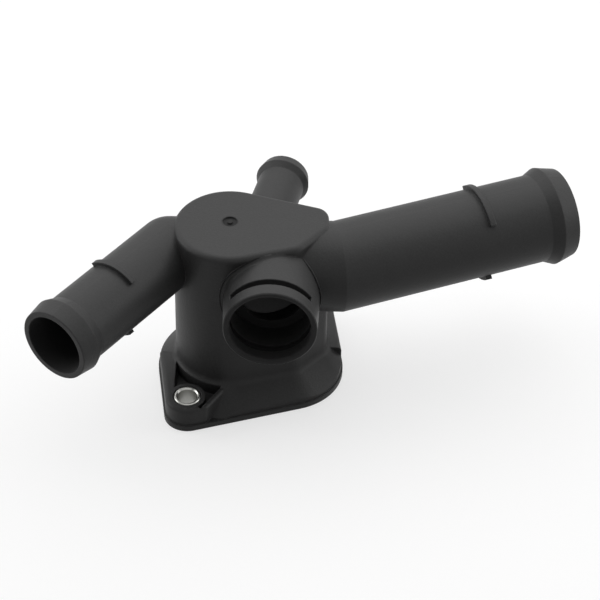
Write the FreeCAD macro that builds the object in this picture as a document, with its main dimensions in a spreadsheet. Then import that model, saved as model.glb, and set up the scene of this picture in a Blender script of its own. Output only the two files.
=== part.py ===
# Coolant flange of a car engine: a moulded housing that bolts to the cylinder head with two bolts
# and leads the coolant to three hoses. Its fourth branch, the round socket, takes a temperature
# sensor that a wire clip holds. Millimetres and degrees.
#
# The origin is the middle of the sealing face, half way between the bolts. +Z is the face's
# normal, through the housing to its flat top, and the sensor socket points along -Y.

import FreeCAD, Part
import math
import os
import Sketcher

Vector = FreeCAD.Vector

SIZES = [
    # Base flange: its outline is a belt round two bolt ears and two blunt corners
    ("bolt_offset_x", 19.95, "bolt axis from the middle, along X"),
    ("ear_radius", 7.7, "outer radius of a bolt ear"),
    ("corner_radius", 20.1, "radius of a blunt corner"),
    ("ear_height", 8.7, "height of the bolt ears"),
    ("rim_height", 2.0, "upright rim of the base plate"),
    ("rim_lip", 0.5, "how far the rim stands out below the ears and the skirt"),
    ("skirt_height", 10.0, "where the skirt meets the housing wall"),
    ("skirt_slope", 48.0, "skirt, measured from upright"),
    ("skirt_blend", 3.0, "hollow rounding between the skirt and the housing wall"),
    ("ear_back_edge", 1.9, "end of an ear block beside the blunt corner, from the middle"),
    ("ear_front_gap", 7.9, "how far an ear block reaches past the housing axis at the outline"),
    ("ear_edge_radius", 1.3, "rounding of the upper edge of an ear block"),
    # Pockets that keep the walls of the ears even
    ("pocket_floor", 5.0, "height of the pocket floor"),
    ("pocket_side_wall", 3.25, "wall between a pocket and the outer side of the ear"),
    ("pocket_back_edge", 3.6, "end of a pocket beside the blunt corner"),
    ("pocket_ring_wall", 0.9, "ledge between the housing wall and a pocket"),
    ("pocket_rim", 1.5, "wall between a pocket and the end of the ear block"),
    ("sleeve_boss_radius", 5.9, "plastic boss round a bolt sleeve"),
    # Bolt sleeves
    ("sleeve_diameter", 9.0, "outside of a bolt sleeve"),
    ("sleeve_bore", 6.6, "bore of a bolt sleeve"),
    ("sleeve_edge", 0.4, "chamfer at the upper end of a sleeve"),
    ("sleeve_seat_gap", 0.05, "between a sleeve and its hole"),
    ("sleeve_proud", 0.1, "sleeve above the ear"),
    # Housing: a round tower with a lobe that carries the large spigot
    ("housing_height", 62.5, "flat top above the sealing face"),
    ("housing_radius", 18.1, "round part of the housing"),
    ("housing_offset", 6.8, "housing axis from the middle, against X"),
    ("housing_wall", 2.8, "wall of the housing"),
    ("top_edge_radius", 2.0, "rounding of the top edge"),
    ("lobe_front_x", 12.3, "front corner of the lobe"),
    ("lobe_front_y", 6.7, "front corner of the lobe"),
    ("lobe_front_radius", 6.0, "front corner of the lobe"),
    ("lobe_end_x", 21.5, "end corner of the lobe"),
    ("lobe_end_y", 0.3, "end corner of the lobe"),
    ("lobe_end_radius", 3.7, "end corner of the lobe"),
    ("lobe_rear_x", 20.1, "rear corner of the lobe"),
    ("lobe_rear_y", 5.8, "rear corner of the lobe"),
    ("lobe_rear_radius", 4.8, "rear corner of the lobe"),
    # Seal in the sealing face, a moulded ring that follows the housing's outline
    ("seal_land", 2.4, "face between the housing's opening and the seal groove"),
    ("seal_groove_width", 3.0, "width of the seal groove"),
    ("seal_groove_depth", 2.4, "depth of the seal groove"),
    ("seal_side_gap", 0.15, "between the seal and each side of its groove"),
    ("bolt_land", 1.7, "face between the seal groove and a bolt sleeve"),
    ("edge_land", 3.4, "face between the seal groove and the edge of a blunt corner"),
    # Sensor socket
    ("socket_x", 7.1, "socket axis, along X"),
    ("socket_z", 45.6, "height of the socket axis"),
    ("socket_reach", 31.8, "mouth of the socket from the middle"),
    ("socket_radius", 15.0, "outside of the socket at its mouth"),
    ("socket_draft", 0.6, "how much the socket widens towards the housing"),
    ("socket_bore", 26.0, "bore that the sensor's seal fits"),
    ("socket_bore_depth", 16.0, "depth of the sensor bore"),
    ("socket_throat", 20.0, "bore behind the sensor bore"),
    ("socket_lead", 0.7, "lead-in chamfer of the bore"),
    ("clip_slot_depth", 4.4, "front of the clip slot from the mouth"),
    ("clip_slot_width", 2.4, "width of the clip slot"),
    ("clip_slot_angle", 116.0, "arc of the clip slot"),
    ("clip_groove_radius", 13.9, "groove for the clip inside the socket"),
    # Large hose spigot
    ("main_z", 47.0, "height of the large spigot"),
    ("main_y", -1.4, "axis of the large spigot where it leaves the housing"),
    ("main_bend_x", 28.2, "where the large spigot turns"),
    ("main_angle", 22.8, "direction of the large spigot, from X"),
    ("main_length", 79.9, "large spigot from its bend to its mouth"),
    ("main_radius", 14.7, "outside of the large spigot"),
    ("main_mouth_radius", 14.85, "outside of the large spigot at its mouth"),
    ("main_bore", 25.0, "bore of the large spigot"),
    ("main_bead", 1.7, "height of the bead of the large spigot"),
    ("main_stop", 30.3, "hose stops of the large spigot from its mouth"),
    ("main_stop_angle", 90.0, "arc of the hose stops of the large spigot"),
    # Medium hose spigot
    ("side_z", 50.2, "height of the medium spigot"),
    ("side_bend_x", -26.4, "where the medium spigot turns"),
    ("side_angle", 234.9, "direction of the medium spigot, from X"),
    ("side_length", 57.0, "medium spigot from its bend to its mouth"),
    ("side_radius", 11.6, "outside of the medium spigot"),
    ("side_mouth_radius", 12.1, "outside of the medium spigot at its mouth"),
    ("side_bore", 19.4, "bore of the medium spigot"),
    ("side_lead", 0.5, "widening of the medium spigot's bore towards its mouth"),
    ("side_bead", 1.4, "height of the bead of the medium spigot"),
    ("side_top_stop", 29.4, "upper hose stop of the medium spigot from its mouth"),
    ("side_bottom_stop", 27.5, "lower hose stop of the medium spigot from its mouth"),
    ("side_stop_angle", 79.0, "arc of the hose stops of the medium spigot"),
    # Small hose spigot
    ("rear_z", 49.0, "height of the small spigot"),
    ("rear_angle", 77.1, "direction of the small spigot, from X"),
    ("rear_length", 44.5, "small spigot from the middle to its mouth"),
    ("rear_radius", 7.7, "outside of the small spigot"),
    ("rear_mouth_radius", 8.1, "outside of the small spigot at its mouth"),
    ("rear_bore", 11.4, "bore of the small spigot"),
    ("rear_bead", 1.3, "height of the bead of the small spigot"),
    # Beads and hose stops, alike on the spigots
    ("bead_land", 6.0, "from the crown of a bead to the mouth"),
    ("bead_ramp", 3.6, "ramp at the back of a bead"),
    ("stop_height", 1.3, "height of a hose stop"),
    ("stop_width", 2.0, "width of a hose stop"),
    ("small_share", 0.6, "length of the small spigot's bead against the others"),
    # Gate mark in the flat top
    ("gate_y", 1.1, "middle of the gate mark, along Y"),
    ("gate_nub_radius", 0.9, "broken-off stub in the middle of the gate mark"),
    ("gate_radius", 2.4, "radius of the gate mark"),
    ("gate_depth", 0.5, "depth of the gate mark"),
]

# Places that follow from other sizes, so that the seal always has room between the housing's
# opening, the bolts and the edge
GROOVE_REACH = "housing_radius - housing_wall + seal_land + seal_groove_width"
FOLLOWING_SIZES = [
    ("seal_reach", f"={GROOVE_REACH}", "outside of the seal groove, from the housing axis"),
    ("bolt_reach", "=seal_reach + bolt_land + sleeve_diameter / 2", "bolt axis from the housing axis"),
    ("bolt_offset_y", "=sqrt(bolt_reach ^ 2 - (bolt_offset_x - housing_offset) ^ 2)",
     "bolt axis from the middle, along Y"),
    ("corner_offset", "=housing_offset + seal_reach + edge_land - corner_radius",
     "centre of a blunt corner from the middle"),
    ("pocket_side_edge", "=bolt_offset_x + ear_radius - pocket_side_wall",
     "outer side of a pocket, from the middle"),
]

doc = FreeCAD.newDocument("coolant_flange")
sheet = doc.addObject("Spreadsheet::Sheet", "Sizes")
for row, (alias, size, note) in enumerate(SIZES + FOLLOWING_SIZES, start=1):
    sheet.set(f"A{row}", note)
    sheet.set(f"B{row}", str(size))
    sheet.setAlias(f"B{row}", alias)
doc.recompute()


def size_of(expression):
    """The value that an expression on the sheet has now."""
    value = sheet.evalExpression(expression)
    return float(getattr(value, "Value", value))


def pin_point(sketch, geometry, end, x, y):
    """Fixes one point of a sketch by two sizes of the sheet."""
    for kind, expression in (("DistanceX", x), ("DistanceY", y)):
        constraint = Sketcher.Constraint(kind, -1, 1, geometry, end, size_of(expression))
        number = sketch.addConstraint(constraint)
        sketch.setExpression(f"Constraints[{number}]", expression)


def size_round(sketch, geometry, radius):
    """Fixes the radius of an arc or circle of a sketch."""
    number = sketch.addConstraint(Sketcher.Constraint("Radius", geometry, size_of(radius)))
    sketch.setExpression(f"Constraints[{number}]", radius)


def belt_sketch(name, circles):
    """A closed belt round circles that are given anticlockwise as x, y and radius."""
    sketch = doc.addObject("Sketcher::SketchObject", name)
    rounds = [tuple(size_of(part) for part in circle) for circle in circles]
    touches = []
    for (x0, y0, r0), (x1, y1, r1) in zip(rounds, rounds[1:] + rounds[:1]):
        apart = math.hypot(x1 - x0, y1 - y0)
        touches.append(math.atan2(y1 - y0, x1 - x0) - math.acos((r0 - r1) / apart))
    for index, (x, y, radius) in enumerate(rounds):
        circle = Part.Circle(Vector(x, y, 0), Vector(0, 0, 1), radius)
        start = touches[index - 1]
        end = touches[index]
        while end < start:
            end += 2 * math.pi
        sketch.addGeometry(Part.ArcOfCircle(circle, start, end), False)
    for index, (x, y, radius) in enumerate(rounds):
        x1, y1, radius1 = rounds[(index + 1) % len(rounds)]
        side = Vector(math.cos(touches[index]), math.sin(touches[index]), 0)
        line = Part.LineSegment(Vector(x, y, 0) + side * radius, Vector(x1, y1, 0) + side * radius1)
        sketch.addGeometry(line, False)
    count = len(rounds)
    for index, (x, y, radius) in enumerate(circles):
        pin_point(sketch, index, 3, x, y)
        size_round(sketch, index, radius)
    for index in range(count):
        following = (index + 1) % count
        sketch.addConstraint(Sketcher.Constraint("Tangent", index, 2, count + index, 1))
        sketch.addConstraint(Sketcher.Constraint("Tangent", count + index, 2, following, 1))
    return sketch


def corner_sketch(name, corners, upright=False):
    """A closed sketch of straight sides through corners, flat or upright."""
    sketch = doc.addObject("Sketcher::SketchObject", name)
    if upright:
        sketch.Placement.Rotation = FreeCAD.Rotation(Vector(1, 0, 0), 90)
    points = [Vector(size_of(x), size_of(y), 0) for x, y in corners]
    for index, first in enumerate(points):
        last = points[(index + 1) % len(points)]
        sketch.addGeometry(Part.LineSegment(first, last), False)
    for index, (x, y) in enumerate(corners):
        pin_point(sketch, index, 1, x, y)
        following = (index + 1) % len(points)
        sketch.addConstraint(Sketcher.Constraint("Coincident", index, 2, following, 1))
    return sketch


def bind(piece, **expressions):
    """Ties properties to the sheet. Place_x, place_y, place_z and turn set the placement."""
    paths = {
        "place_x": "Placement.Base.x",
        "place_y": "Placement.Base.y",
        "place_z": "Placement.Base.z",
        "turn": "Placement.Rotation.Angle",
    }
    for name, expression in expressions.items():
        piece.setExpression(paths.get(name, name), expression)
    return piece


def raised(name, sketch, height, **expressions):
    """A sketch drawn upwards by a height, and moved by place_z."""
    piece = doc.addObject("Part::Extrusion", name)
    piece.Base = sketch
    piece.DirMode = "Custom"
    piece.Dir = Vector(0, 0, 1)
    piece.Solid = True
    return bind(piece, LengthFwd=height, **expressions)


def turned(name, sketch, arc=None, **expressions):
    """A sketch turned about its X axis, whole or over an arc, then turned about Z and moved."""
    piece = doc.addObject("Part::Revolution", name)
    piece.Source = sketch
    piece.Axis = (1, 0, 0)
    piece.Base = (0, 0, 0)
    piece.Solid = True
    piece.Symmetric = arc is not None
    piece.Placement.Rotation = FreeCAD.Rotation(Vector(0, 0, 1), 1)
    return bind(piece, Angle=arc or "360", **expressions)


def rod(name, radius, height, **expressions):
    """An upright cylinder."""
    piece = doc.addObject("Part::Cylinder", name)
    return bind(piece, Radius=radius, Height=height, **expressions)


def joined(name, pieces):
    piece = doc.addObject("Part::MultiFuse", name)
    piece.Shapes = pieces
    piece.Refine = True
    return piece


def shared(name, pieces):
    piece = doc.addObject("Part::MultiCommon", name)
    piece.Shapes = pieces
    return piece


def less(name, base, tool):
    piece = doc.addObject("Part::Cut", name)
    piece.Base = base
    piece.Tool = tool
    return piece


def half_turn(name, source):
    """A copy of a piece, turned half round the middle of the flange."""
    piece = doc.addObject("Part::Mirroring", name + "_mirror")
    piece.Source = source
    piece.Normal = (1, 0, 0)
    second = doc.addObject("Part::Mirroring", name)
    second.Source = piece
    second.Normal = (0, 1, 0)
    return second


def rounded(name, base, radius, chosen):
    """A piece whose edges are rounded where chosen says so."""
    doc.recompute()
    size = size_of(radius)
    piece = doc.addObject("Part::Fillet", name)
    piece.Base = base
    edges = enumerate(base.Shape.Edges, start=1)
    piece.Edges = [(number, size, size) for number, edge in edges if chosen(edge)]
    return piece


def at_height(edge, height):
    """Whether an edge lies flat at a height of the sheet."""
    level = size_of(height)
    return abs(edge.BoundBox.ZMin - level) < 0.01 and abs(edge.BoundBox.ZMax - level) < 0.01


def beside_housing(edge):
    """Whether the middle of an edge lies outside the round part of the housing."""
    middle = edge.valueAt((edge.FirstParameter + edge.LastParameter) / 2)
    from_axis = math.hypot(middle.x + size_of("Sizes.housing_offset"), middle.y)
    return from_axis > size_of("Sizes.housing_radius")


# Outlines
def flange_circles(grow):
    """The flange's outline, grown or shrunk by an expression such as - Sizes.rim_lip."""
    return [
        ("-Sizes.corner_offset", "0", "Sizes.corner_radius" + grow),
        ("-Sizes.bolt_offset_x", "-Sizes.bolt_offset_y", "Sizes.ear_radius" + grow),
        ("Sizes.corner_offset", "0", "Sizes.corner_radius" + grow),
        ("Sizes.bolt_offset_x", "Sizes.bolt_offset_y", "Sizes.ear_radius" + grow),
    ]


def housing_circles(grow):
    """The housing's outline, grown or shrunk by an expression such as + Sizes.seal_land."""
    return [
        ("-Sizes.housing_offset", "0", "Sizes.housing_radius" + grow),
        ("Sizes.lobe_front_x", "-Sizes.lobe_front_y", "Sizes.lobe_front_radius" + grow),
        ("Sizes.lobe_end_x", "Sizes.lobe_end_y", "Sizes.lobe_end_radius" + grow),
        ("Sizes.lobe_rear_x", "Sizes.lobe_rear_y", "Sizes.lobe_rear_radius" + grow),
    ]


cavity_grow = " - Sizes.housing_wall"
groove_grow = cavity_grow + " + Sizes.seal_land"
flange_outline = belt_sketch("flange_outline", flange_circles(""))
block_outline = belt_sketch("block_outline", flange_circles(" - Sizes.rim_lip"))
housing_outline = belt_sketch("housing_outline", housing_circles(""))
cavity_outline = belt_sketch("cavity_outline", housing_circles(cavity_grow))

# Housing tower with a rounded top edge
tower = raised("tower", housing_outline, "Sizes.housing_height")
rounded_tower = rounded("rounded_tower", tower, "Sizes.top_edge_radius",
                        lambda edge: at_height(edge, "Sizes.housing_height"))

# Base flange: a thin plate whose rim stands out a little, and on it the block that the skirt and
# the ears are cut from. The skirt slopes down from the housing and runs into its wall in a hollow
# rounding.
rim = raised("rim", flange_outline, "Sizes.rim_height")
flange_block = raised("flange_block", block_outline, "Sizes.skirt_height + Sizes.skirt_blend")
skirt_cone = raised("skirt_cone", housing_outline, "Sizes.skirt_height", place_z="Sizes.skirt_height")
skirt_cone.Reversed = True
bind(skirt_cone, TaperAngle="Sizes.skirt_slope")
skirted_tower = joined("skirted_tower", [skirt_cone, rounded_tower])
blended_tower = rounded("blended_tower", skirted_tower, "Sizes.skirt_blend",
                        lambda edge: at_height(edge, "Sizes.skirt_height"))
skirt = shared("skirt", [blended_tower, flange_block])

# Two ear blocks, full height round the bolts. A block ends in a straight side on the front of the
# housing, and in another beside the blunt corner.
far = "2 * Sizes.corner_radius + Sizes.corner_offset"
ear_reach_y = "(Sizes.bolt_offset_y + Sizes.ear_radius - Sizes.housing_radius)"
ear_corners = [
    ("-Sizes.housing_offset", "-Sizes.ear_back_edge"),
    (f"-({far})", "-Sizes.ear_back_edge"),
    (f"-({far})", f"-Sizes.housing_radius - 2 * {ear_reach_y}"),
    ("-Sizes.housing_offset - 2 * Sizes.ear_front_gap", f"-Sizes.housing_radius - 2 * {ear_reach_y}"),
    ("-Sizes.housing_offset + Sizes.ear_front_gap / 4", f"-Sizes.housing_radius + {ear_reach_y} / 4"),
]
ear_area = corner_sketch("ear_area", ear_corners)
ear_prism = raised("ear_prism", ear_area, "Sizes.ear_height")
ear_block = shared("ear_block", [ear_prism, flange_block])


def is_ear_edge(edge):
    """The upper edges of an ear block, and the upright one at its front end."""
    box = edge.BoundBox
    front_x = -size_of("Sizes.housing_offset + 2 * Sizes.ear_front_gap")
    upright = box.ZLength > size_of("Sizes.rim_height") and front_x < box.XMin and box.XLength < 0.01
    return beside_housing(edge) and (at_height(edge, "Sizes.ear_height") or upright)


near_ear = rounded("near_ear", ear_block, "Sizes.ear_edge_radius", is_ear_edge)
far_ear = half_turn("far_ear", near_ear)


def spigot_profile(name, length, radius, bead, mouth, share=""):
    """Half section of a spigot: tube, ramp, and a bead that narrows again towards the mouth."""
    land = f"Sizes.bead_land{share}"
    ramp = f"Sizes.bead_ramp{share}"
    corners = [
        ("0", "0"),
        (length, "0"),
        (length, mouth),
        (f"{length} - {land}", f"{radius} + {bead}"),
        (f"{length} - {land} - {ramp}", radius),
        ("0", radius),
    ]
    return corner_sketch(name, corners, upright=True)


def stop_profile(name, length, radius, back, side):
    """Section of a hose stop, above the axis with side 1 and below it with side -1."""
    middle = f"{length} - {back}"
    sign = "" if side > 0 else "-"
    top = f"{sign}({radius} + Sizes.stop_height)"
    foot = f"{sign}({radius} / 2)"
    low = f"{middle} - Sizes.stop_width / 2"
    high = f"{middle} + Sizes.stop_width / 2"
    return corner_sketch(name, [(low, foot), (high, foot), (high, top), (low, top)], upright=True)


def plain_profile(name, length, radius):
    corners = [("0", "0"), (length, "0"), (length, radius), ("0", radius)]
    return corner_sketch(name, corners, upright=True)


def ball(name, radius, **expressions):
    piece = doc.addObject("Part::Sphere", name)
    return bind(piece, Radius=radius, **expressions)


def mitre(name, radius, turn, stub_turn, **place):
    """The wedge that fills the outside of a bend between two round tubes of one radius."""
    ahead = [("0", "0"), (radius, "0"), (radius, radius), ("0", radius)]
    behind = [(f"-({radius})", "0"), ("0", "0"), ("0", radius), (f"-({radius})", radius)]
    stub = turned(f"{name}_stub_tip", corner_sketch(f"{name}_stub_tip_section", ahead, upright=True),
                  turn=stub_turn, **place)
    run = turned(f"{name}_run_tip", corner_sketch(f"{name}_run_tip_section", behind, upright=True),
                 turn=turn, **place)
    return shared(name, [stub, run])


# Large spigot: a stub along X, a mitred bend, then the long run
main_place = {"place_x": "Sizes.main_bend_x", "place_y": "Sizes.main_y", "place_z": "Sizes.main_z"}
main_stub_place = {"place_x": "-Sizes.housing_offset", "place_y": "Sizes.main_y", "place_z": "Sizes.main_z"}
main_stub_length = "Sizes.main_bend_x + Sizes.housing_offset"
main_outer = [
    turned("main_run", spigot_profile("main_section", "Sizes.main_length", "Sizes.main_radius",
                                      "Sizes.main_bead", "Sizes.main_mouth_radius"),
           turn="Sizes.main_angle", **main_place),
    mitre("main_bend", "Sizes.main_radius", "Sizes.main_angle", "0", **main_place),
    turned("main_stub", plain_profile("main_stub_section", main_stub_length, "Sizes.main_radius"),
           turn="0", **main_stub_place),
]
main_bores = [
    turned("main_run_bore", plain_profile("main_bore_section", "Sizes.main_length + 1",
                                          "Sizes.main_bore / 2"),
           turn="Sizes.main_angle", **main_place),
    mitre("main_bend_bore", "Sizes.main_bore / 2", "Sizes.main_angle", "0", **main_place),
    turned("main_stub_bore", plain_profile("main_stub_bore_section", main_stub_length,
                                           "Sizes.main_bore / 2"),
           turn="0", **main_stub_place),
]

# Medium spigot: a short stub against X, a round knuckle, then the run
side_place = {"place_x": "Sizes.side_bend_x", "place_y": "0", "place_z": "Sizes.side_z"}
side_stub_length = "-Sizes.side_bend_x - Sizes.housing_offset"
side_outer = [
    turned("side_run", spigot_profile("side_section", "Sizes.side_length", "Sizes.side_radius",
                                      "Sizes.side_bead", "Sizes.side_mouth_radius"),
           turn="Sizes.side_angle", **side_place),
    ball("side_bend", "Sizes.side_radius", **side_place),
    turned("side_stub", plain_profile("side_stub_section", side_stub_length, "Sizes.side_radius"),
           turn="0", **side_place),
]
side_bore_corners = [
    ("0", "0"),
    ("Sizes.side_length + 1", "0"),
    ("Sizes.side_length + 1", "Sizes.side_bore / 2 + Sizes.side_lead"),
    ("Sizes.side_length", "Sizes.side_bore / 2 + Sizes.side_lead"),
    ("Sizes.side_length - Sizes.bead_land", "Sizes.side_bore / 2"),
    ("0", "Sizes.side_bore / 2"),
]
side_bores = [
    turned("side_run_bore", corner_sketch("side_bore_section", side_bore_corners, upright=True),
           turn="Sizes.side_angle", **side_place),
    mitre("side_bend_bore", "Sizes.side_bore / 2", "Sizes.side_angle", "180", **side_place),
    turned("side_stub_bore", plain_profile("side_stub_bore_section", side_stub_length,
                                           "Sizes.side_bore / 2"),
           turn="0", **side_place),
]

# Small spigot: straight out of the housing at the back
rear_place = {"place_x": "0", "place_y": "0", "place_z": "Sizes.rear_z", "turn": "Sizes.rear_angle"}
rear_outer = [
    turned("rear_run", spigot_profile("rear_section", "Sizes.rear_length", "Sizes.rear_radius",
                                      "Sizes.rear_bead", "Sizes.rear_mouth_radius",
                                      " * Sizes.small_share"),
           **rear_place),
]
rear_bores = [
    turned("rear_run_bore", plain_profile("rear_bore_section", "Sizes.rear_length + 1",
                                          "Sizes.rear_bore / 2"), **rear_place),
]

# Hose stops: two short ribs on the top and the bottom of the two larger spigots
stops = []
for label, spigot, radius, back, side in (
        ("main_top_stop", "main", "Sizes.main_radius", "Sizes.main_stop", 1),
        ("main_bottom_stop", "main", "Sizes.main_radius", "Sizes.main_stop", -1),
        ("side_top_stop", "side", "Sizes.side_radius", "Sizes.side_top_stop", 1),
        ("side_bottom_stop", "side", "Sizes.side_radius", "Sizes.side_bottom_stop", -1)):
    section = stop_profile(f"{label}_section", f"Sizes.{spigot}_length", radius, back, side)
    place = main_place if spigot == "main" else side_place
    stops.append(turned(f"{label}_rib", section, arc=f"Sizes.{spigot}_stop_angle",
                        turn=f"Sizes.{spigot}_angle", **place))

# Sensor socket, with the sensor's bore, a narrower throat and the clip slot
socket_place = {"place_x": "Sizes.socket_x", "place_y": "0", "place_z": "Sizes.socket_z", "turn": "270"}
socket_root = "Sizes.socket_radius + Sizes.socket_draft"
socket_corners = [
    ("0", "0"),
    ("Sizes.socket_reach", "0"),
    ("Sizes.socket_reach", "Sizes.socket_radius - Sizes.socket_lead / 2"),
    ("Sizes.socket_reach - Sizes.socket_lead / 2", "Sizes.socket_radius"),
    ("Sizes.lobe_front_y + Sizes.lobe_front_radius", socket_root),
    ("0", socket_root),
]
socket_outer = turned("socket", corner_sketch("socket_section", socket_corners, upright=True),
                      **socket_place)
bore_end = "Sizes.socket_reach - Sizes.socket_bore_depth"
slot_front = "Sizes.socket_reach - Sizes.clip_slot_depth"
slot_back = "Sizes.socket_reach - Sizes.clip_slot_depth - Sizes.clip_slot_width"
socket_bore_corners = [
    ("0", "0"),
    ("Sizes.socket_reach + 1", "0"),
    ("Sizes.socket_reach + 1", "Sizes.socket_bore / 2 + Sizes.socket_lead"),
    ("Sizes.socket_reach", "Sizes.socket_bore / 2 + Sizes.socket_lead"),
    ("Sizes.socket_reach - Sizes.socket_lead", "Sizes.socket_bore / 2"),
    (slot_front, "Sizes.socket_bore / 2"),
    (slot_front, "Sizes.clip_groove_radius"),
    (slot_back, "Sizes.clip_groove_radius"),
    (slot_back, "Sizes.socket_bore / 2"),
    (bore_end, "Sizes.socket_bore / 2"),
    (bore_end, "Sizes.socket_throat / 2"),
    ("0", "Sizes.socket_throat / 2"),
]
socket_bore = turned("socket_bore", corner_sketch("socket_bore_section", socket_bore_corners,
                                                  upright=True), **socket_place)
slot_corners = [
    (slot_back, "Sizes.socket_bore / 4"),
    (slot_front, "Sizes.socket_bore / 4"),
    (slot_front, "Sizes.socket_radius * 1.5"),
    (slot_back, "Sizes.socket_radius * 1.5"),
]
clip_slot = turned("clip_slot", corner_sketch("clip_slot_section", slot_corners, upright=True),
                   arc="Sizes.clip_slot_angle", **socket_place)

# Cavity, open at the sealing face and closed by the top
cavity = raised("cavity", cavity_outline, "Sizes.housing_height - Sizes.housing_wall")

# Pockets beside the sleeves. The front side of a pocket runs along the end of its ear block.
end_slope = f"Sizes.ear_front_gap / {ear_reach_y}"
end_shift = f"Sizes.pocket_rim * sqrt(1 + ({end_slope}) ^ 2)"
pocket_front_y = "(Sizes.bolt_offset_y + Sizes.ear_radius - Sizes.pocket_rim - Sizes.rim_lip)"
pocket_corners = [
    ("-Sizes.housing_offset", "-Sizes.pocket_back_edge"),
    ("-Sizes.pocket_side_edge", "-Sizes.pocket_back_edge"),
    ("-Sizes.pocket_side_edge", "-Sizes.bolt_offset_y"),
    (f"-Sizes.housing_offset - ({pocket_front_y} - Sizes.housing_radius) * {end_slope} - {end_shift}",
     f"-{pocket_front_y}"),
    (f"-Sizes.housing_offset - {end_shift}", "-Sizes.housing_radius"),
]
pocket_area = corner_sketch("pocket_area", pocket_corners)
pocket_prism = raised("pocket_prism", pocket_area, "Sizes.skirt_height", place_z="Sizes.pocket_floor")
pocket_ring = rod("pocket_ring", "Sizes.housing_radius + Sizes.pocket_ring_wall", "Sizes.housing_height",
                  place_x="-Sizes.housing_offset")
near_boss = rod("near_boss", "Sizes.sleeve_boss_radius", "Sizes.housing_height",
                place_x="-Sizes.bolt_offset_x", place_y="-Sizes.bolt_offset_y")
pocket_keep = joined("pocket_keep", [pocket_ring, near_boss])
near_pocket = less("near_pocket", pocket_prism, pocket_keep)
far_pocket = half_turn("far_pocket", near_pocket)

# Seal groove
groove_inner = raised("groove_inner", belt_sketch("groove_inner_outline", housing_circles(groove_grow)),
                      "Sizes.seal_groove_depth")
groove_outer = raised("groove_outer", belt_sketch("groove_outer_outline", housing_circles(
    groove_grow + " + Sizes.seal_groove_width")), "Sizes.seal_groove_depth")
seal_groove = less("seal_groove", groove_outer, groove_inner)

# Bolt holes that hold the sleeves
hole_height = "Sizes.skirt_height"
near_hole = rod("near_hole", "Sizes.sleeve_diameter / 2 + Sizes.sleeve_seat_gap", hole_height,
                place_x="-Sizes.bolt_offset_x", place_y="-Sizes.bolt_offset_y")
far_hole = rod("far_hole", "Sizes.sleeve_diameter / 2 + Sizes.sleeve_seat_gap", hole_height,
               place_x="Sizes.bolt_offset_x", place_y="Sizes.bolt_offset_y")

# Gate mark: a round dimple with the broken-off stub of the runner in its middle
gate_place = {"place_x": "-Sizes.housing_offset", "place_y": "Sizes.gate_y",
              "place_z": "Sizes.housing_height - Sizes.gate_depth"}
gate_dimple = rod("gate_dimple", "Sizes.gate_radius", "Sizes.gate_depth * 2", **gate_place)
gate_nub = rod("gate_nub", "Sizes.gate_nub_radius", "Sizes.gate_depth * 3", **gate_place)
gate_mark = less("gate_mark", gate_dimple, gate_nub)

outside = joined("outside", [rim, skirt, near_ear, far_ear, rounded_tower, socket_outer]
                 + main_outer + side_outer + rear_outer + stops)
inside = joined("inside", [cavity, socket_bore] + main_bores + side_bores + rear_bores)
recesses = joined("recesses", [near_pocket, far_pocket, seal_groove, near_hole, far_hole,
                               clip_slot, gate_mark])
hollow = less("hollow", outside, inside)
flange_body = less("flange_body", hollow, recesses)
flange_body.Label = "flange_body"

# Bolt sleeves, chamfered at the end that the bolt enters
sleeve_top = "Sizes.ear_height + Sizes.sleeve_proud"
sleeve_corners = [
    ("0", "Sizes.sleeve_bore / 2"),
    ("0", "Sizes.sleeve_diameter / 2"),
    (f"{sleeve_top} - Sizes.sleeve_edge", "Sizes.sleeve_diameter / 2"),
    (sleeve_top, "Sizes.sleeve_diameter / 2 - Sizes.sleeve_edge"),
    (sleeve_top, "Sizes.sleeve_bore / 2 + Sizes.sleeve_edge"),
    (f"{sleeve_top} - Sizes.sleeve_edge", "Sizes.sleeve_bore / 2"),
]
sleeve_section = corner_sketch("sleeve_section", sleeve_corners, upright=True)
sleeves = []
for label, sign in (("bolt_sleeve_front", "-"), ("bolt_sleeve_rear", "")):
    sleeve = turned(label, sleeve_section, place_x=f"{sign}Sizes.bolt_offset_x",
                    place_y=f"{sign}Sizes.bolt_offset_y")
    sleeve.Placement.Rotation = FreeCAD.Rotation(Vector(0, 1, 0), -90)
    sleeve.Label = label
    sleeves.append(sleeve)

# Seal ring
seal_inner = raised("seal_inner", belt_sketch("seal_inner_outline", housing_circles(
    groove_grow + " + Sizes.seal_side_gap")), "Sizes.seal_groove_depth")
seal_outer = raised("seal_outer", belt_sketch("seal_outer_outline", housing_circles(
    groove_grow + " + Sizes.seal_groove_width - Sizes.seal_side_gap")), "Sizes.seal_groove_depth")
seal_ring = less("seal_ring", seal_outer, seal_inner)
seal_ring.Label = "seal_ring"

doc.recompute()

for piece in doc.Objects:
    if "Invalid" in piece.State or "Error" in piece.State:
        raise RuntimeError(f"{piece.Name} failed: {piece.State}")

os.makedirs("parts", exist_ok=True)
for piece in [flange_body, seal_ring] + sleeves:
    shape = piece.Shape
    if shape.isNull() or not shape.isValid():
        raise RuntimeError(f"{piece.Label} has no valid shape")
    shape.exportStep(f"parts/{piece.Label}.step")
    print(piece.Label, len(shape.Solids), round(shape.Volume, 1), shape.BoundBox)
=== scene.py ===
import math

import bmesh
import bpy
from mathutils import Matrix, Vector


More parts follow.
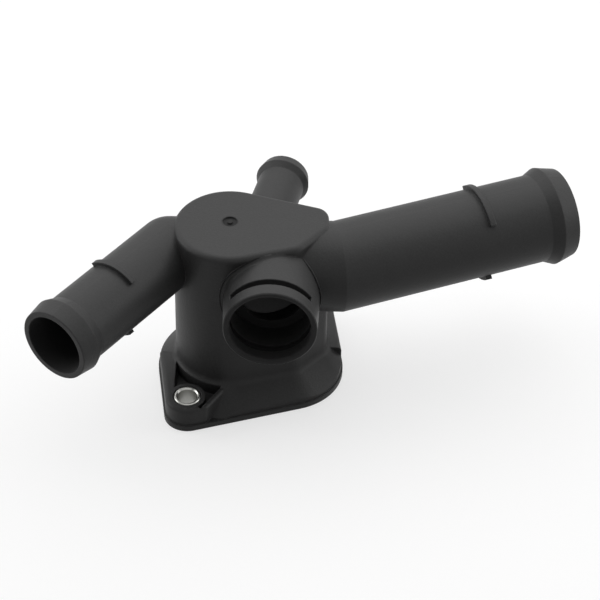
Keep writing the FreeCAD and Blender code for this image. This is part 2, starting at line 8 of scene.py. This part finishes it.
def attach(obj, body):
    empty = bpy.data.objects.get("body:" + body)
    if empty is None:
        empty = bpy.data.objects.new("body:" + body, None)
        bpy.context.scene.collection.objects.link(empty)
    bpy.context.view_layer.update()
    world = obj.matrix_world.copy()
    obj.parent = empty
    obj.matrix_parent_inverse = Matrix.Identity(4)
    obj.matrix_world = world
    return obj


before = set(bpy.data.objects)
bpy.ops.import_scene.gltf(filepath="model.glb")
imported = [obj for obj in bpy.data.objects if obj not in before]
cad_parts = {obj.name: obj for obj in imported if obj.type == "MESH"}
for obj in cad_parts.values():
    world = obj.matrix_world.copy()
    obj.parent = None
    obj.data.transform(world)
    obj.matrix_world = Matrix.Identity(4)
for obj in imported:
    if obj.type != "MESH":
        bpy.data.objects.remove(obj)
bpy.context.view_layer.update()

# Camera. It stands as far away and as high as the photograph's, a little rolled, and looks at a
# point inside the housing's foot. Lengths are in millimetres until they are set.
MM = 0.001
UP = Vector((0, 0, 1))
FOCAL_PIXELS = 2409.7
FRAME_PIXELS = 600
SENSOR_MM = 36.0
CLIP_END = 10000.0
CAMERA_DISTANCE = 791.2
CAMERA_AZIMUTH = 0.40
CAMERA_ELEVATION = 40.74
CAMERA_ROLL = 1.16
CAMERA_TARGET = Vector((16.12, 0.0, 31.01))


def look_from(azimuth, elevation):
    """Unit vector towards a viewer; azimuth 0 is on the -Y side."""
    turn, lift = math.radians(azimuth), math.radians(elevation)
    level = math.cos(lift)
    return Vector((math.sin(turn) * level, -math.cos(turn) * level, math.sin(lift)))


def aim(obj, place, target, roll=0.0):
    """Puts an object at a place, in millimetres, with its -Z axis on the target."""
    back = (place - target).normalized()
    right = UP.cross(back).normalized()
    up = back.cross(right)
    turn = math.radians(roll)
    across = right * math.cos(turn) + up * math.sin(turn)
    over = up * math.cos(turn) - right * math.sin(turn)
    facing = Matrix((across, over, back)).transposed().to_4x4()
    obj.matrix_world = Matrix.Translation(place * MM) @ facing


camera_data = bpy.data.cameras.new("camera")
camera_data.sensor_width = SENSOR_MM
camera_data.sensor_fit = "HORIZONTAL"
camera_data.lens = FOCAL_PIXELS / FRAME_PIXELS * SENSOR_MM
camera_data.clip_end = CLIP_END * MM
camera = bpy.data.objects.new("camera", camera_data)
bpy.context.collection.objects.link(camera)
aim(camera, CAMERA_TARGET + look_from(CAMERA_AZIMUTH, CAMERA_ELEVATION) * CAMERA_DISTANCE,
    CAMERA_TARGET, CAMERA_ROLL)
bpy.context.scene.camera = camera


# Housing. Black glass-filled nylon, one moulding with its spigots and base flange. The mould's
# fine spark texture shows as a soft grain, and the flow of the melt as faint broad clouds.
class Wire:
    """A socket that can be added to, or multiplied by, another one or a number."""

    def __init__(self, graph, socket):
        self.graph = graph
        self.socket = socket

    def __add__(self, other):
        return self.graph.math("ADD", self, other)

    def __radd__(self, other):
        return self.graph.math("ADD", other, self)

    def __mul__(self, other):
        return self.graph.math("MULTIPLY", self, other)

    def __rmul__(self, other):
        return self.graph.math("MULTIPLY", other, self)


class Graph:
    """The node tree of one material, or of the room."""

    def __init__(self, owner):
        owner.use_nodes = True
        self.tree = owner.node_tree
        self.tree.nodes.clear()

    def node(self, kind, output=0, settings=None, **inputs):
        """Adds a node, sets or links its inputs and returns one of its outputs."""
        made = self.tree.nodes.new(kind)
        for name, value in (settings or {}).items():
            setattr(made, name, value)
        for name, value in inputs.items():
            key = int(name[1:]) if name[0] == "_" else name.replace("_", " ")
            if isinstance(value, Wire):
                self.tree.links.new(value.socket, made.inputs[key])
            else:
                made.inputs[key].default_value = value
        return Wire(self, made.outputs[output]) if made.outputs else made

    def math(self, operation, *values):
        inputs = {f"_{index}": value for index, value in enumerate(values)}
        return self.node("ShaderNodeMath", settings={"operation": operation}, **inputs)

    def vector_math(self, operation, *values):
        """Gives a number where the operation measures something, otherwise a vector."""
        inputs = {f"_{index}": value for index, value in enumerate(values)}
        output = "Value" if operation in ("DISTANCE", "LENGTH", "DOT_PRODUCT") else "Vector"
        return self.node("ShaderNodeVectorMath", output, {"operation": operation}, **inputs)

    def blend(self, share, first, second):
        """Mixes two colours; a share of 0 gives the first."""
        return self.node("ShaderNodeMix", output=2, settings={"data_type": "RGBA"},
                         _0=share, _6=first, _7=second)

    def noise(self, place, scale, detail, roughness):
        return self.node("ShaderNodeTexNoise", Vector=place, Scale=scale, Detail=detail,
                         Roughness=roughness)


def surface(name, build, **constants):
    """A material whose graph comes from build; constants go on the shader's own sockets."""
    material = bpy.data.materials.new(name)
    graph = Graph(material)
    shader = graph.node("ShaderNodeBsdfPrincipled", **constants, **build(graph))
    graph.node("ShaderNodeOutputMaterial", Surface=shader)
    return material


def wear(node_name, material):
    """Gives a CAD node a material in every slot."""
    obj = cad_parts[node_name]
    if not obj.material_slots:
        obj.data.materials.append(material)
    for slot in obj.material_slots:
        slot.material = material


HOUSING_DARK = (0.016, 0.016, 0.016, 1.0)
HOUSING_LIGHT = (0.038, 0.038, 0.038, 1.0)
HOUSING_ROUGHNESS = 0.38
HOUSING_GLOSS = 0.2
CLOUD_SHARE = 0.4
GRAIN_SHARE = 0.6
CLOUD_ROUGHNESS = 0.12
GRAIN_ROUGHNESS = 0.08
GATE_ROUGHNESS = 0.2
SHADE_ROUGHNESS = 0.42
EDGE_RADIUS = 0.6
SHARP_EDGE_RADIUS = 0.1
GRAIN_HEIGHT = 0.25
GRAIN_STRENGTH = 0.35
GATE_PLACE = Vector((-6.8, 1.1, 62.2))
GATE_EDGE = 3.6
GATE_HEART = 2.6
GATE_WANDER = 1.2
GATE_DEPTH = 0.85
# Colour of the gate mark, and of the painted shade in the clip slot and the bores.
SCAR_AND_PAINTED_SHADE_COLOUR = (0.006, 0.006, 0.006, 1.0)
SOCKET_MIDDLE = Vector((7.1, 0.0, 45.6))
SOCKET_OUT = Vector((0, -1, 0))
SOCKET_REACH = 31.8
SOCKET_MOUTH = SOCKET_MIDDLE + SOCKET_OUT * SOCKET_REACH
SOCKET_SHADE_REACH = 14.65
SOCKET_SHADE_DEPTH = 16.5
SLOT_SHADE_REACH = 14.9
SLOT_FRONT = 4.3
SLOT_BACK = 6.9
MEDIUM_MOUTH = Vector((-59.18, -46.64, 50.2))
MEDIUM_OUT = Vector((-0.575, -0.81815, 0.0))
MEDIUM_SHADE_REACH = 10.3
MEDIUM_SHADE_DEPTH = 30.0
MOUTH_MARGIN = 0.1
SLOT_SHADE = 0.95
BORE_SHADE = 0.5


def inside(graph, place, mouth, outward, reach, near, far):
    """1 in a straight stretch of bore, from near to far behind its mouth; 0 elsewhere."""
    offset = graph.vector_math("SUBTRACT", place, mouth * MM)
    from_axis = graph.vector_math("LENGTH", graph.vector_math("CROSS_PRODUCT", offset, outward))
    along = graph.vector_math("DOT_PRODUCT", offset, outward)
    return (graph.math("LESS_THAN", from_axis, reach * MM)
            * graph.math("COMPARE", along, -(near + far) / 2 * MM, (far - near) / 2 * MM))


def painted_bore_shade(graph, place):
    """Painted shade: how much darker the clip slot and the two bores that the camera looks into are
    coloured.
    """
    slot = inside(graph, place, SOCKET_MOUTH, SOCKET_OUT, SLOT_SHADE_REACH, SLOT_FRONT, SLOT_BACK)
    socket = inside(graph, place, SOCKET_MOUTH, SOCKET_OUT, SOCKET_SHADE_REACH,
                    -MOUTH_MARGIN, SOCKET_SHADE_DEPTH)
    medium = inside(graph, place, MEDIUM_MOUTH, MEDIUM_OUT, MEDIUM_SHADE_REACH,
                    -MOUTH_MARGIN, MEDIUM_SHADE_DEPTH)
    return graph.math("MAXIMUM", slot * SLOT_SHADE, (socket + medium) * BORE_SHADE)


def housing_graph(graph, edge_radius=EDGE_RADIUS):
    place = graph.node("ShaderNodeTexCoord", output="Object")
    clouds = graph.noise(place, scale=60.0, detail=3.0, roughness=0.6)
    grain = graph.noise(place, scale=1500.0, detail=2.0, roughness=0.7)
    waves = graph.noise(place, scale=220.0, detail=2.0, roughness=0.5)
    from_gate = graph.vector_math("DISTANCE", place, GATE_PLACE * MM) + clouds * (GATE_WANDER * MM)
    scar = graph.node("ShaderNodeMapRange", _0=from_gate, _1=GATE_EDGE * MM, _2=GATE_HEART * MM,
                      _3=0.0, _4=GATE_DEPTH)
    # Painted shade: the clip slot and the two bores are coloured darker and made rougher, standing
    # in for the shadow deep inside them.
    painted_shade = painted_bore_shade(graph, place)
    mottle = clouds * CLOUD_SHARE + grain * GRAIN_SHARE
    plastic = graph.blend(mottle, HOUSING_DARK, HOUSING_LIGHT)
    colour = graph.blend(graph.math("MAXIMUM", scar, painted_shade), plastic, SCAR_AND_PAINTED_SHADE_COLOUR)
    roughness = (clouds * CLOUD_ROUGHNESS + grain * GRAIN_ROUGHNESS + scar * GATE_ROUGHNESS
                 + painted_shade * SHADE_ROUGHNESS + HOUSING_ROUGHNESS)
    soft_edges = graph.node("ShaderNodeBevel", settings={"samples": 4}, Radius=edge_radius * MM)
    bump = graph.node("ShaderNodeBump", Height=grain * 0.7 + waves * 0.6, Normal=soft_edges,
                      Strength=GRAIN_STRENGTH, Distance=GRAIN_HEIGHT * MM)
    return {"Base_Color": colour, "Roughness": roughness, "Normal": bump}


housing_plastic = surface("housing_plastic", housing_graph, Specular_IOR_Level=HOUSING_GLOSS)
sharp_plastic = surface("sharp_plastic", lambda graph: housing_graph(graph, SHARP_EDGE_RADIUS),
                        Specular_IOR_Level=HOUSING_GLOSS)
wear("flange_body", housing_plastic)

# Root of the sensor socket. Where it leaves the tower the moulding has a small hollow rounding,
# and round that runs the witness line of the mould's slide. Both are one narrow band, laid on
# the socket and on the wall behind it.
TOWER_CIRCLES = (  # x, y, radius
    (-6.8, 0.0, 18.1),
    (12.3, -6.7, 6.0),
    (21.5, 0.3, 3.7),
    (20.1, 5.8, 4.8),
)
TOWER_TOP = 62.5
TOP_ROUNDING = 2.0
TOP_MARGIN = 0.35
LARGE_RUN_Y = -1.4
LARGE_RUN_Z = 47.0
LARGE_RUN_RADIUS = 14.7
SOCKET_ROOT_RADIUS = 15.38
LINE_WIDTH = 0.5
LINE_HEIGHT = 0.55
LEAST_ROUNDING = 0.3
LEAST_RISE = 0.2
BAND_STEPS = 144
HOLLOW_STEPS = 6
MARCH_FROM = 45.0
MARCH_END = -5.0
MARCH_STEPS = 60
MARCH_CLOSE = 0.002

# Angle from the top of the socket, and the size there: of the rounding, and of the line as a
# share of its full width and height.
SOCKET_ROUNDINGS = ((-180, 1.0), (-100, 0.9), (-45, 1.7), (0, 1.0), (50, 0.3), (100, 0.3),
                    (180, 1.0))
SOCKET_LINES = ((-180, 0.2), (-110, 0.5), (-50, 1.0), (-18, 0.0), (32, 0.0), (50, 0.8),
                (110, 0.8), (180, 0.2))

# Directions every 2 degrees, and how far the tower reaches in each.
FACINGS = [Vector((math.cos(math.radians(turn)), math.sin(math.radians(turn))))
           for turn in range(0, 360, 2)]
REACHES = [max(facing.dot(Vector((x, y))) + radius for x, y, radius in TOWER_CIRCLES)
           for facing in FACINGS]


def off_tower(point):
    """Distance from the tower's skin; below 0 inside it."""
    flat = max(facing.dot(point.xy) - reach for facing, reach in zip(FACINGS, REACHES))
    side = max(flat + TOP_ROUNDING, 0.0)
    over = max(point.z - TOWER_TOP + TOP_ROUNDING, 0.0)
    return math.hypot(side, over) - TOP_ROUNDING


def off_large_run(point):
    """Distance from the large branch's first run, which starts at x = 0 and goes along +X."""
    before_start = min(point.x, 0.0)
    return math.hypot(before_start, point.y - LARGE_RUN_Y, point.z - LARGE_RUN_Z) - LARGE_RUN_RADIUS


def off_walls(point):
    return min(off_tower(point), off_large_run(point))


def march(start, outward):
    """How far out from start the wall lies, felt for from outside."""
    distance = MARCH_FROM
    for _ in range(MARCH_STEPS):
        gap = off_walls(start + outward * distance)
        distance -= gap
        if gap < MARCH_CLOSE or distance < MARCH_END:
            break
    return distance


def between(turn, stations):
    """Reads a size at an angle from a list of (angle, size), with easy changes between them."""
    for (angle_a, size_a), (angle_b, size_b) in zip(stations, stations[1:]):
        if turn <= angle_b:
            share = (turn - angle_a) / (angle_b - angle_a)
            return size_a + (size_b - size_a) * share * share * (3 - 2 * share)
    return stations[-1][1]


# The band's section: steps away from the socket and out from the wall, as shares of the
# rounding and then of the line.
hollow = [math.radians(90 * step / HOLLOW_STEPS) for step in range(HOLLOW_STEPS + 1)]
section = [(1 - math.cos(turn), 1 - math.sin(turn), 0.0, 0.0) for turn in hollow]
section += [(1.0, 0.0, wide, high)
            for wide, high in ((0.3, 0.8), (0.5, 1.0), (0.8, 0.95), (1.0, 0.7), (1.0, -0.2))]

# The section is spun as a flat ring with its points 1, 2, 3 and so on from the middle. Each
# point's distance then tells which point of the section it is, and it is moved to its place.
shape = bmesh.new()
points = [shape.verts.new(UP * (1 + index)) for index in range(len(section))]
edges = [shape.edges.new(pair) for pair in zip(points, points[1:])]
bmesh.ops.spin(shape, geom=points + edges, cent=(0, 0, 0), axis=SOCKET_OUT, angle=math.tau,
               steps=BAND_STEPS, use_merge=True)
for face in shape.faces:
    face.smooth = face.calc_center_median().length < 1 + HOLLOW_STEPS
for point in shape.verts:
    across, lift, wide, high = section[round(point.co.length) - 1]
    away = point.co.normalized()
    turn = math.atan2(away.dot(UP.cross(SOCKET_OUT)), away.dot(UP))
    room = (TOWER_TOP - TOP_MARGIN - SOCKET_MIDDLE.z) / max(math.cos(turn), LEAST_RISE)
    rounding = min(between(math.degrees(turn), SOCKET_ROUNDINGS),
                   max(room - SOCKET_ROOT_RADIUS, LEAST_ROUNDING))
    line = between(math.degrees(turn), SOCKET_LINES)
    reach = SOCKET_ROOT_RADIUS + across * rounding + wide * line * LINE_WIDTH
    start = SOCKET_MIDDLE + away * reach
    out = march(start, SOCKET_OUT) + lift * rounding + high * line * LINE_HEIGHT
    point.co = (start + SOCKET_OUT * out) * MM
bmesh.ops.recalc_face_normals(shape, faces=shape.faces)
band_mesh = bpy.data.meshes.new("socket_root")
shape.to_mesh(band_mesh)
shape.free()
band_mesh.materials.append(sharp_plastic)
band = bpy.data.objects.new("socket_root", band_mesh)
bpy.context.collection.objects.link(band)
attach(band, "root")


# Bolt sleeves. Rolled steel tubes that keep the bolts from crushing the plastic, moulded in; the
# ends are turned and bright.
SLEEVE_GREY = (0.40, 0.40, 0.38, 1.0)
SLEEVE_ROUGHNESS = 0.22
SCRATCH_ROUGHNESS = 0.2
SCRATCH_HEIGHT = 0.04


def sleeve_graph(graph):
    place = graph.node("ShaderNodeTexCoord", output="Object")
    scratches = graph.noise(place, scale=900.0, detail=4.0, roughness=0.7)
    bump = graph.node("ShaderNodeBump", Height=scratches, Strength=0.2,
                      Distance=SCRATCH_HEIGHT * MM)
    return {"Roughness": scratches * SCRATCH_ROUGHNESS + SLEEVE_ROUGHNESS, "Normal": bump}


sleeve_steel = surface("sleeve_steel", sleeve_graph, Base_Color=SLEEVE_GREY, Metallic=1.0)
wear("bolt_sleeve_front", sleeve_steel)
wear("bolt_sleeve_rear", sleeve_steel)


# Seal. A ring of black moulded rubber, pressed into the groove of the sealing face. It is drawn
# as bolted down, so it lies flush.
SEAL_BLACK = (0.012, 0.012, 0.012, 1.0)
SEAL_ROUGHNESS = 0.5
SEAL_GRAIN_HEIGHT = 0.05


def seal_graph(graph):
    place = graph.node("ShaderNodeTexCoord", output="Object")
    grain = graph.noise(place, scale=1200.0, detail=2.0, roughness=0.6)
    bump = graph.node("ShaderNodeBump", Height=grain, Strength=0.3,
                      Distance=SEAL_GRAIN_HEIGHT * MM)
    return {"Roughness": grain * 0.1 + SEAL_ROUGHNESS, "Normal": bump}


seal_rubber = surface("seal_rubber", seal_graph, Base_Color=SEAL_BLACK)
wear("seal_ring", seal_rubber)

# Floor. A plain sheet of white paper that keeps the object's soft shadow. Its glow fills the paper
# up to white for the camera and in reflections, and lights nothing.
FLOOR_HALF = 1500.0
FLOOR_DROP = 0.3
PAPER_GREY = (0.35, 0.35, 0.35, 1.0)
PAPER_GLOW = 0.65
WHITE = (1.0, 1.0, 1.0, 1.0)


def background_rays(graph):
    """1 where the background is seen: by the camera, in gloss or through glass; otherwise 0."""
    camera_ray, gloss, glass = (graph.node("ShaderNodeLightPath", output=f"Is {kind} Ray")
                                for kind in ("Camera", "Glossy", "Transmission"))
    return graph.math("MAXIMUM", camera_ray, graph.math("MAXIMUM", gloss, glass))


sheet = bmesh.new()
bmesh.ops.create_grid(sheet, x_segments=1, y_segments=1, size=FLOOR_HALF * MM,
                      matrix=Matrix.Translation(-UP * FLOOR_DROP * MM))
floor_mesh = bpy.data.meshes.new("floor")
sheet.to_mesh(floor_mesh)
sheet.free()
floor = bpy.data.objects.new("floor", floor_mesh)
bpy.context.collection.objects.link(floor)
floor_paper = bpy.data.materials.new("floor_paper")
floor_graph = Graph(floor_paper)
paper = floor_graph.node("ShaderNodeBsdfDiffuse", Color=PAPER_GREY)
glow = floor_graph.node("ShaderNodeEmission", Color=WHITE,
                        Strength=background_rays(floor_graph) * PAPER_GLOW)
lit_paper = floor_graph.node("ShaderNodeAddShader", _0=paper, _1=glow)
floor_graph.node("ShaderNodeOutputMaterial", Surface=lit_paper)
floor_mesh.materials.append(floor_paper)

# Light. Large soft boxes overhead and at both sides, in a dim room whose walls are seen as white
# by the camera and in reflections, but light the object only a little.
ROOM_DIM = 0.12
ROOM_GLOW = 0.88

world = bpy.data.worlds.new("room")
bpy.context.scene.world = world
room_graph = Graph(world)
room_walls = room_graph.node("ShaderNodeBackground", Color=WHITE,
                             Strength=background_rays(room_graph) * ROOM_GLOW + ROOM_DIM)
room_graph.node("ShaderNodeOutputWorld", Surface=room_walls)

LIGHTS = [
    # name, azimuth, elevation, distance mm, width mm, height mm, watts
    ("overhead", 180.0, 66.0, 700.0, 1500.0, 1000.0, 7.8),
    ("left_box", -98.0, 18.0, 650.0, 350.0, 450.0, 1.5),
    ("right_box", 98.0, 18.0, 650.0, 350.0, 450.0, 1.5),
]
for name, azimuth, elevation, distance, width, height, watts in LIGHTS:
    lamp_data = bpy.data.lights.new(name, "AREA")
    lamp_data.shape = "RECTANGLE"
    lamp_data.size = width * MM
    lamp_data.size_y = height * MM
    lamp_data.energy = watts
    lamp = bpy.data.objects.new(name, lamp_data)
    bpy.context.collection.objects.link(lamp)
    aim(lamp, CAMERA_TARGET + look_from(azimuth, elevation) * distance, CAMERA_TARGET)

bpy.context.scene.view_settings.view_transform = "Standard"
